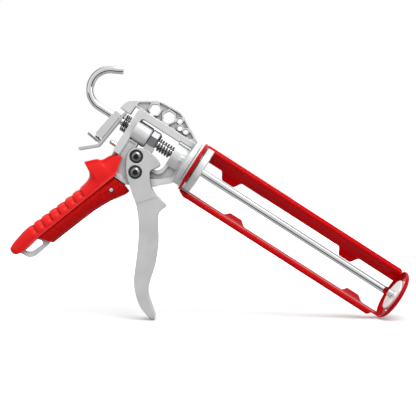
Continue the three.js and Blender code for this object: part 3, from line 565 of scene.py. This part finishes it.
def thick_line(line, sheet, side):
    """The outline round a bent sheet whose middle line is given in radius and angle."""
    flat = [Vector(on_cradle(r, angle, side)) for r, angle in line]
    outside, inside = [], []
    for i, here in enumerate(flat):
        heading = (flat[min(i + 1, len(flat) - 1)] - flat[max(i - 1, 0)]).normalized()
        across = Vector((-heading.y, heading.x)) * sheet / 2
        trim = 0.7 if i in (0, len(flat) - 1) else 1.0
        outside.append(here + across * trim)
        inside.append(here - across * trim)
    heads = (flat[0] - flat[1]).normalized() * sheet * 0.15
    tails = (flat[-1] - flat[-2]).normalized() * sheet * 0.15
    outline = [flat[0] + heads] + outside + [flat[-1] + tails] + inside[::-1]
    return [tuple(point) for point in outline]


def front_cap():
    wall, plate = 1.2, 1.5
    profile = [
        (CAP_FRONT - plate, CAP_HOLE), (CAP_FRONT - plate, CAP_SIDE - wall, 1.4),
        (CAP_BACK, CAP_SIDE - wall), (CAP_BACK, CAP_SIDE),
        (CAP_FRONT - 2.6, CAP_SIDE, 1.6), (CAP_FRONT, CAP_SIDE - 2.8, 1.6), (CAP_FRONT, CAP_HOLE)]
    piece("front_cap_shell", *turned(eased(profile, 0.4, 8), 144), GLOSS_RED,
          "cradle", "gloss_red", ("front_cap",))


def rear_ring():
    profile = [
        (-RING_FRONT, SPIGOT_BORE), (-RING_FRONT, CAP_SIDE, 1.2), (RING_FRONT, CAP_SIDE, 1.2),
        (RING_FRONT, SPIGOT_BORE)]
    piece("rear_ring_plate", *turned(eased(profile, 0.3, 6), 144), GLOSS_RED,
          "cradle", "gloss_red", ("rear_ring",))


# ---- rod and piston ----
def rod_path():
    hook_steps = 72
    path = [(x, 0, 0) for x in (CAP_FRONT + 0.7, CAP_FRONT - 60, 60, HOOK_START + 30, HOOK_START + 2)]
    for i in range(hook_steps + 1):
        angle = math.radians(270 - HOOK_SWEEP * i / hook_steps)
        path.append((
            HOOK_START + HOOK_RADIUS * math.cos(angle), 0, HOOK_RADIUS + HOOK_RADIUS * math.sin(angle)))
    last = math.radians(270 - HOOK_SWEEP)
    tip = Vector(path[-1]) + Vector((math.sin(last), 0, -math.cos(last))) * (HOOK_TAIL - 0.8)
    path.append(tuple(tip))
    return path


def push_rod():
    piece("push_rod_bar", *tube(rod_path(), ROD_RADIUS - 0.06, 48), CHROME,
          "rod", "rod_chrome", ("push_rod",))


def piston():
    wall, plate, bore = 1.5, 1.5, 4.3
    rim = PISTON_BACK + 4.0
    floor_at = PISTON_BACK + plate
    profile = [
        (rim, PISTON_SIDE), (rim, PISTON_SIDE - wall), (floor_at, PISTON_SIDE - wall, 1.2),
        (floor_at, bore, 0.2), (PISTON_BACK, bore, 0.2), (PISTON_BACK, PISTON_SIDE, 1.6)]
    piece("piston_dish", *turned(eased(profile, 0.5, 6), 144), DISH,
          "piston", "rod_chrome", ("piston_disc",))


# ---- collar and washers on the spigot ----
def collar():
    profile = [
        (COLLAR_BACK, SPIGOT_BORE, 0.3), (COLLAR_BACK, COLLAR_SIDE, 0.5),
        (COLLAR_FRONT, COLLAR_SIDE, 0.6), (COLLAR_FRONT, SPIGOT_BORE, 0.3)]
    piece("collar_ring", *turned(eased(profile, 0.3, 4), 144), CAST,
          "body", "cast_aluminium", ("retaining_collar",))


def wave_washer():
    """A washer whose rim is cut into many small teeth."""
    back, front, side, teeth, notch = 1.8, 2.6, 23.2, 60, 0.9
    profiles = []
    for i in range(teeth * 4):
        rim = side if i % 4 in (0, 1) else side - notch
        profiles.append([(back, SPIGOT_BORE), (back, rim), (front, rim), (front, SPIGOT_BORE)])
    piece("wave_washer_teeth", *revolved(profiles), DARK_STEEL,
          "body", "dark_steel", ("wave_washer",), smooth=False)


def flange_washer():
    back, front, side = FLANGE_FRONT + 0.3, -1.8, 24.2
    profile = [(back, SPIGOT_BORE), (back, side), (front, side), (front, SPIGOT_BORE)]
    piece("flange_washer_ring", *turned(eased(profile, 0.3, 4), 120), PALE,
          "body", "pale_plastic", ("flange_washer",))


# ---- grip ----
# outlines of the grip and strap: how far down the grip, then how far forward or to the side
GRIP_SEAM = 1.2
GRIP_CEILING = -51.9
GRIP_END = 93.4
FRONT_EDGE = [(-9, 21.5), (-1, 21.8), (6, 20.2), (16, 17.7), (28, 15.9), (39, 14.9), (92, 14.2)]
GRIP_WIDTH = [(-9, 8.6), (4, 10.4), (14, 12), (30, 13), (70, 13), (96, 11.5)]
STRAP_BACK = [
    (-26, -12.5), (-15, -17.6), (-10, -18.6), (-3, -20), (1, -24), (7, -27), (12.4, -29.2), (13.4, -24),
    (14.6, -18.6), (19, -14), (24, -12.6), (33, -12), (98, -13.8), (112, -12), (123, -9.4)]
STRAP_FRONT = [
    (-26, -11), (-18.2, -8.1), (-1.5, 0.9), (1.2, 0.9), (98, 0.9), (113, 2.1), (120, 1.2), (124, -0.4)]
STRAP_WIDTH = [
    (-26, 8.2), (-19.5, 8.5), (-8, 10.5), (4, 12.5), (14, 12.6), (30, 13), (70, 13), (98, 11), (123, 7.5)]
STRAP_CEILING = -30.2
STRAP_END = 124.2
STRAP_TAIL = 6
RIB_FIRST = 32.5
RIB_PITCH = 9.6
RIB_COUNT = 7


def on_grip(down, forward, side):
    """A point in the gun's frame, measured along the grip from its top."""
    return tuple(GRIP_TOP + GRIP_DOWN * down + GRIP_FORWARD * forward + Vector((0, side, 0)))


def rib(down):
    """Share of a finger groove's depth: a steep upper side and a slow swell below each."""
    place = (down - RIB_FIRST) / RIB_PITCH
    if place < -0.5 or place > RIB_COUNT - 0.5:
        return 0.0
    away = (place - round(place)) * RIB_PITCH
    return math.exp(-(away / (0.8 if away < 0 else 2.9)) ** 2)


def backstrap():
    groove = 2.7
    steps = 28
    tail_start = STRAP_END - STRAP_TAIL
    rings = []
    downs = evenly(-26, 12, 0.9) + evenly(12.4, 15, 0.35) + evenly(15.5, 26, 0.9) + evenly(26.4, 98, 0.45)
    downs += evenly(98.4, tail_start, 0.8) + evenly(STRAP_END - 5.7, STRAP_END, 0.3)
    for down in downs:
        back = along_table(STRAP_BACK, down)
        front = along_table(STRAP_FRONT, down)
        width = along_table(STRAP_WIDTH, down)
        ring = []
        for i in range(-steps, steps + 1):
            angle = math.pi / 2 * i / steps
            behind = math.cos(angle)
            reach = front + (back - front) * behind ** 0.8
            side = width * math.sin(angle)
            slant = down - 0.8 * (1 - behind)
            on_side = 1 - 0.6 * smooth_step((behind - 0.8) / 0.18)
            swell = -groove * rib(slant) * smooth_step((behind - 0.12) / 0.16) * on_side
            normal = Vector((-behind, math.sin(angle))).normalized()
            point = on_grip(down, reach + normal.x * swell, side + normal.y * swell * 0.9)
            ring.append((point[0], point[1], min(point[2], STRAP_CEILING)))
        tail = down - tail_start
        if tail > 0:
            share = math.sqrt(max(0.0, 1 - (tail / STRAP_TAIL) ** 2)) * 0.55 + 0.45
            heart = sum((Vector(point) for point in ring), Vector()) / len(ring)
            ring = [tuple(heart + (Vector(point) - heart) * share) for point in ring]
        rings.append(ring)
    sharp_edges(piece("backstrap_skin", *loft(rings), SOFT_RED, "body", "soft_red", ("backstrap",)), 50)


def grip_shell(name, side):
    """Half of the front grip, with a flute along the seam and a finer one on its side."""
    steps = 30
    rings = []
    for down in evenly(-4.5, 84, 1.2) + evenly(84.5, GRIP_END, 0.45):
        front = along_table(FRONT_EDGE, down)
        width = along_table(GRIP_WIDTH, down)
        ring = []
        for i in range(steps + 1):
            angle = math.pi / 2 * i / steps
            forward = GRIP_SEAM - 0.3 + (front - GRIP_SEAM) * math.sin(angle)
            flute = 1.5 * math.exp(-((forward - GRIP_SEAM) / 3.0) ** 2)
            flute += 0.5 * math.exp(-((forward - 9.0) / 1.1) ** 2)
            lowest = min(down, GRIP_END - 0.58 * (forward - GRIP_SEAM))
            ring.append(on_grip(lowest, forward, side * max(0.05, width * math.cos(angle) ** 0.9 - flute)))
        ring.append(on_grip(down, GRIP_SEAM - 0.3, side * 0.05))
        rings.append(ring)
    points, faces = loft(rings)
    trimmed = [(x, y, min(z, GRIP_CEILING)) for x, y, z in points]
    sharp_edges(piece(name, trimmed, faces, GRIP_RED, "body", "grip_red", (name,)), 50)


def grip_pin():
    """The cross pin, with a black ring round each of its ends."""
    for name, start, end, radius, material, slot, nodes in (
            ("grip_pin_core", -10.3, 10.3, 1.9, BRIGHT_STEEL, "bright_steel", ("grip_pin",)),
            ("grip_pin_ring_near", -10.1, -8.6, 2.7, BLACK, "black_rubber", ()),
            ("grip_pin_ring_far", 8.6, 10.1, 2.7, BLACK, "black_rubber", ())):
        profile = [(start, 0.0), (start, radius - 0.35), (start + 0.1, radius - 0.1), (start + 0.35, radius),
                   (end - 0.35, radius), (end - 0.1, radius - 0.1), (end, radius - 0.35), (end, 0.0)]
        points, faces = turned(profile, 36)
        points = [(GRIP_PIN[0] + forward, side, GRIP_PIN[1] + up) for side, forward, up in points]
        sharp_edges(piece(name, points, faces, material, "body", slot, nodes), 50)


# ---- screws ----
def star_screw(name, at, node):
    """Button head with a six-lobed recess, painted black inside as painted shade."""
    x0, z0 = at
    seat, radius, height, depth = -11.1, 4.6, 1.6, 1.9
    star, lobes, lobe_swell, painted_shade_within = 2.0, 6, 0.42, 2.2
    segments, rows = 72, 16
    points, faces = [], []
    for row in range(rows + 1):
        r = radius * row / rows
        for i in range(segments):
            angle = 2 * math.pi * i / segments
            lobe = star + lobe_swell * math.cos(lobes * angle)
            dome = height * (1 - (r / radius) ** 2.6)
            socket = depth * (1 - smooth_step((r - lobe + 0.25) / 0.3))
            points.append((x0 + r * math.cos(angle), seat - dome + socket, z0 + r * math.sin(angle)))
    for row in range(rows):
        for i in range(segments):
            a = row * segments + i
            b = row * segments + (i + 1) % segments
            faces.append((a, b, b + segments, a + segments))
    first = len(points)
    for i in range(segments):
        angle = 2 * math.pi * i / segments
        points.append((x0 + radius * math.cos(angle), seat + 1.0, z0 + radius * math.sin(angle)))
    for i in range(segments):
        a = rows * segments + i
        b = rows * segments + (i + 1) % segments
        faces.append((a, b, first + (i + 1) % segments, first + i))
    faces.append(tuple(first + i for i in range(segments)))
    obj = piece(name, points, faces, PEWTER, "trigger", "bright_steel", (node,))
    # the faces in the recess take the black material: painted shade in the socket
    obj.data.materials.append(BLACK)
    middle = GUN @ Vector((x0, 0, z0))
    for polygon in obj.data.polygons:
        away = Vector(polygon.center) - middle
        away.y = 0
        if away.length < painted_shade_within * MM:
            polygon.material_index = 1
    sharp_edges(obj, 40)


# ---- camera, light and floor ----
# where the camera stands and looks, in the gun's frame
VIEW_CENTRE = (34.6, -26.6)
CAMERA_SHIFT = (3.0, -15.0)
CAMERA_DISTANCE = 900
CAMERA_LENS = 78.1


def camera():
    look_at = GUN @ Vector((VIEW_CENTRE[0], 0, VIEW_CENTRE[1]))
    place = GUN @ Vector((CAMERA_SHIFT[0], -CAMERA_DISTANCE, CAMERA_SHIFT[1]))
    data = bpy.data.cameras.new("camera")
    data.lens = CAMERA_LENS
    data.sensor_width = 36
    data.clip_start = 0.02
    data.clip_end = 50
    obj = bpy.data.objects.new("camera", data)
    obj.location = place
    obj.rotation_euler = (look_at - place).to_track_quat("-Z", "Y").to_euler()
    bpy.context.scene.collection.objects.link(obj)
    bpy.context.scene.camera = obj


def area_light(name, place, size, power):
    """A rectangular lamp aimed at the gun's middle."""
    data = bpy.data.lights.new(name, "AREA")
    data.shape = "RECTANGLE"
    data.size, data.size_y = size
    data.energy = power
    obj = bpy.data.objects.new(name, data)
    obj.location = place
    obj.rotation_euler = (Vector((0, 0, 0.1)) - Vector(place)).to_track_quat("-Z", "Y").to_euler()
    bpy.context.scene.collection.objects.link(obj)


def grey_ramp(tree, split, axis, stops):
    """Greys by one part of a direction, which runs from -1 to 1 over the ramp."""
    shift = tree.nodes.new("ShaderNodeMapRange")
    shift.inputs["From Min"].default_value = -1
    shift.inputs["From Max"].default_value = 1
    tree.links.new(split.outputs[axis], shift.inputs["Value"])
    return ramp(tree, shift, [(place, (value, value, value)) for place, value in stops], "Result")


def colour_mix(tree, factor, first, second=None):
    mix = tree.nodes.new("ShaderNodeMix")
    mix.data_type = "RGBA"
    tree.links.new(factor, mix.inputs["Factor"])
    tree.links.new(first, mix.inputs["A"])
    if second:
        tree.links.new(second, mix.inputs["B"])
    return mix


def studio():
    scene = bpy.context.scene
    scene.view_settings.view_transform = "Standard"
    world = bpy.data.worlds.new("studio")
    scene.world = world
    world.use_nodes = True
    tree = world.node_tree
    background = tree.nodes["Background"]
    coordinates = tree.nodes.new("ShaderNodeTexCoord")
    split = tree.nodes.new("ShaderNodeSeparateXYZ")
    tree.links.new(coordinates.outputs["Generated"], split.inputs["Vector"])
    # soft light on the surfaces: bright above, dimmer from the floor
    soft = grey_ramp(tree, split, "Z", [
        (0.0, 0.62), (0.3, 0.52), (0.45, 0.38), (0.55, 0.42), (0.75, 0.95), (1.0, 1.15)])
    # what shiny surfaces show: a dark wall behind the gun, white sides and thin dark strips low in front
    upper = grey_ramp(tree, split, "Y", [
        (0.0, 0.75), (0.05, 0.9), (0.36, 1.0), (0.385, 0.02), (0.57, 0.02), (0.60, 0.9), (1.0, 0.9)])
    lower = grey_ramp(tree, split, "Y", [
        (0.0, 0.75), (0.065, 0.75), (0.08, 0.0), (0.22, 0.0), (0.25, 0.6), (0.6, 0.5), (1.0, 0.4)])
    below = tree.nodes.new("ShaderNodeMath")
    below.operation = "LESS_THAN"
    below.inputs[1].default_value = 0.0
    tree.links.new(split.outputs["Z"], below.inputs[0])
    shiny = colour_mix(tree, below.outputs["Value"], upper.outputs["Color"], lower.outputs["Color"])
    path = tree.nodes.new("ShaderNodeLightPath")
    seen = colour_mix(tree, path.outputs["Is Glossy Ray"], soft.outputs["Color"], shiny.outputs["Result"])
    final = colour_mix(tree, path.outputs["Is Camera Ray"], seen.outputs["Result"])
    final.inputs["B"].default_value = (1, 1, 1, 1)
    tree.links.new(final.outputs["Result"], background.inputs["Color"])
    background.inputs["Strength"].default_value = 1.0
    area_light("key", (0.45, -0.6, 1.3), (0.8, 0.8), 9)
    area_light("top", (0.1, 0.1, 1.5), (1.4, 1.4), 4)
    area_light("fill", (0.9, -0.7, 0.6), (0.6, 0.9), 1)
    floor()


def floor():
    """A matt sheet that takes the shadows near the gun and glows white away from it."""
    half = 6.0
    corners = [(-half, -half, 0), (half, -half, 0), (half, half, 0), (-half, half, 0)]
    mesh = bpy.data.meshes.new("floor")
    mesh.from_pydata(corners, [], [(0, 1, 2, 3)])
    obj = bpy.data.objects.new("floor", mesh)
    bpy.context.scene.collection.objects.link(obj)
    material, tree, surface = shader("floor", (0.82, 0.82, 0.82), 0.6)
    haze = texture(tree, "ShaderNodeTexNoise", 3, Detail=2.0)
    tone = ramp(tree, haze, [(0.3, (0.81, 0.81, 0.81)), (0.7, (0.83, 0.83, 0.83))])
    tree.links.new(tone.outputs["Color"], surface.inputs["Base Color"])
    surface.inputs["Emission Color"].default_value = (1, 1, 1, 1)
    coordinates = tree.nodes.new("ShaderNodeTexCoord")
    away = tree.nodes.new("ShaderNodeVectorMath")
    away.operation = "LENGTH"
    tree.links.new(coordinates.outputs["Object"], away.inputs[0])
    glow = to_range(tree, away, 0.08, 1.0, "Value")
    glow.inputs["From Min"].default_value = 0.25
    glow.inputs["From Max"].default_value = 0.8
    tree.links.new(glow.outputs["Result"], surface.inputs["Emission Strength"])
    mesh.materials.append(material)
    obj.visible_glossy = False
    obj.visible_diffuse = False


# ---- the gun ----
def dress_cad():
    """Nodes whose CAD shape is right keep it, with a softened edge and their own finish."""
    looks = {
        "stop_peg": BRIGHT_STEEL, "piston_nut": BRIGHT_STEEL, "pivot_nut": BRIGHT_STEEL,
        "roller_nut": BRIGHT_STEEL, "pivot_washer_left": BLACK, "pivot_washer_right": BLACK,
        "roller_washer_left": BLACK, "roller_washer_right": BLACK, "drive_roller": BRIGHT_STEEL,
        "drive_plate": BRIGHT_STEEL, "jaw_block": DARK_STEEL, "lock_plate": BRIGHT_STEEL,
        "release_lever": LEVER_GREY, "release_stud": BRIGHT_STEEL,
    }
    for name, material in looks.items():
        obj = frame["nodes"][name]
        for holder in obj.material_slots:
            holder.material = material
        modify(obj, "WELD", merge_threshold=1e-6)
        modify(obj, "BEVEL", width=0.25 * MM, segments=2, limit_method="ANGLE", angle_limit=math.radians(35))


DRIVE_COIL = {"radius": 5.7, "wire": 0.88, "turns": 4.4, "closed_turns": 0.6}
RELEASE_COIL = {"radius": 8.2, "wire": 0.65, "turns": 2.2, "closed_turns": 0.4}


def spring(name, node, ends, coil):
    """A coil held at its front end, given a mesh of its own."""
    obj = piece(name, *helix(*ends, **coil), SPRING_STEEL, "body", "dark_steel", (node,))
    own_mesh(obj)


camera()
studio()
refined("body_casting", "body_cast", 3, CAST, "body")
refined("trigger", "trigger_cast", 4, TRIGGER_GREY, "trigger")
rail("rail_upper", 1, UPPER_TABS)
rail("rail_lower", -1, LOWER_TABS)
front_cap()
rear_ring()
push_rod()
piston()
collar()
wave_washer()
flange_washer()
backstrap()
grip_shell("grip_shell_left", -1)
grip_shell("grip_shell_right", 1)
grip_pin()
star_screw("pivot_screw_head", PIVOT, "pivot_screw")
star_screw("roller_screw_head", ROLLER_AXIS, "roller_screw")
spring("drive_coil", "drive_spring", DRIVE_SPRING_ENDS, DRIVE_COIL)
spring("release_coil", "release_spring", RELEASE_SPRING_ENDS, RELEASE_COIL)
dress_cad()
